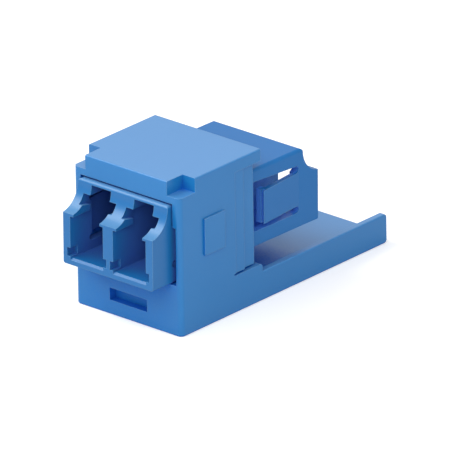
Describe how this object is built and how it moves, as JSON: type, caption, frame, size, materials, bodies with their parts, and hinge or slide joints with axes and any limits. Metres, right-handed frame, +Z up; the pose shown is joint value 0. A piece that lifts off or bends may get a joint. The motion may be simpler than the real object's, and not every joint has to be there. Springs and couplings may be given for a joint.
{
  "type": "lc fibre adapter",
  "caption": "LC fibre adapter in a snap-in faceplate housing: latch ports side by side at both ends, snap fingers, and a springy release arm behind.",
  "frame": {"origin": "under the middle of the whole part's box, on the surface that the release arm and housing rest on", "axes": "+X to the right when looking at the front ports, +Y from the front ports to the tip of the release arm, +Z up"},
  "size_m": [0.016, 0.0376, 0.018],
  "materials": {
    "housing_plastic": "satin moulded, blue",
    "adapter_plastic": "satin moulded, blue",
    "sleeve_ceramic": "polished white ceramic"
  },
  "bodies": {
    "root": {"module_housing": "housing_plastic", "adapter_front_body": "adapter_plastic", "adapter_rear_body": "adapter_plastic", "left_split_sleeve": "sleeve_ceramic", "right_split_sleeve": "sleeve_ceramic"}
  },
  "joints": []
}
